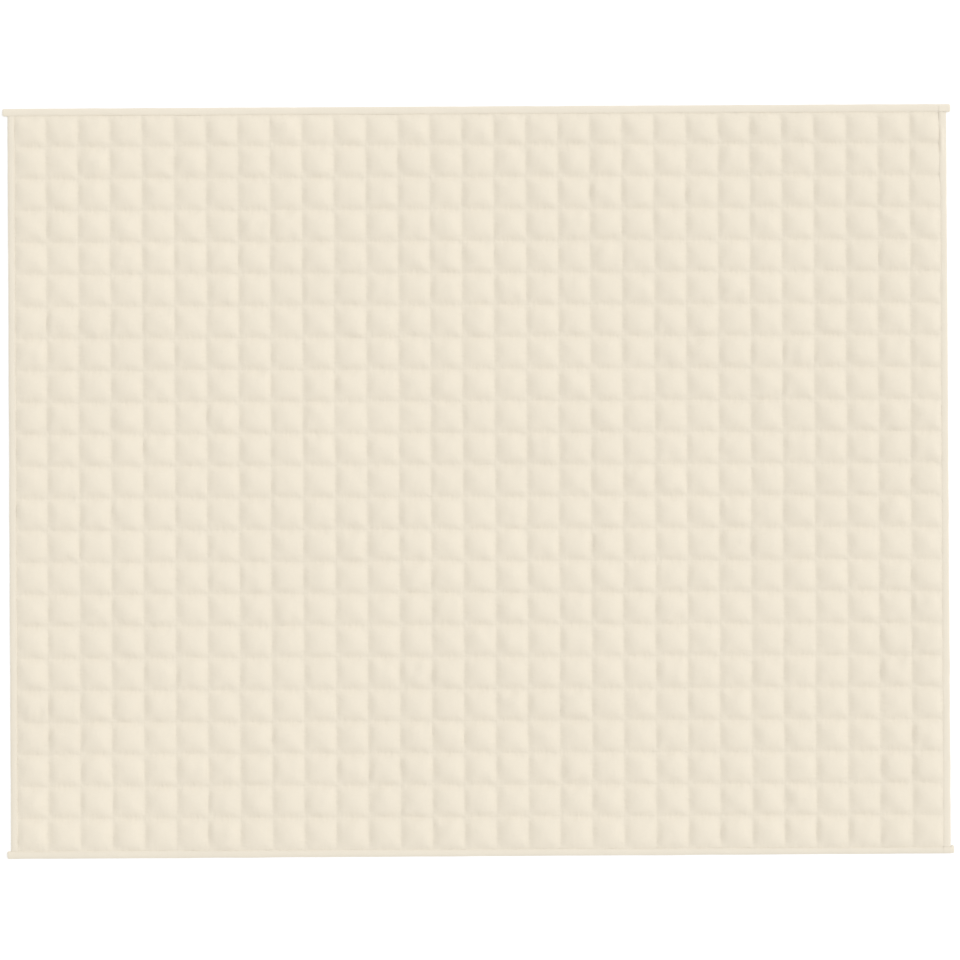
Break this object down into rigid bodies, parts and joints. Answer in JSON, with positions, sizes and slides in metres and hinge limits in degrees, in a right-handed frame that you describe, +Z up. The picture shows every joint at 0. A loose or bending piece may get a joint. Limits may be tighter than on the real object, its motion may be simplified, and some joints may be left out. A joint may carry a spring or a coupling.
{
  "type": "weighted blanket",
  "caption": "Large rectangular weighted blanket, laid out flat, quilted all over in square filled pockets and bound on every edge with a folded tape.",
  "frame": {"origin": "on the surface that the blanket lies on, under its middle", "axes": "+X along the long side, to the right as seen from above; +Y towards the top edge; +Z up, out of the quilted face"},
  "size_m": [2.9625, 2.336, 0.0131],
  "materials": {
    "quilt_cloth": "cream woven cotton, matt, with faint puckers at the quilting seams",
    "binding_tape": "cream cotton tape, folded over the edge and edge-stitched"
  },
  "bodies": {
    "root": {"quilt": "quilt_cloth", "binding_top": "binding_tape", "binding_bottom": "binding_tape", "binding_left": "binding_tape", "binding_right": "binding_tape"}
  },
  "joints": []
}
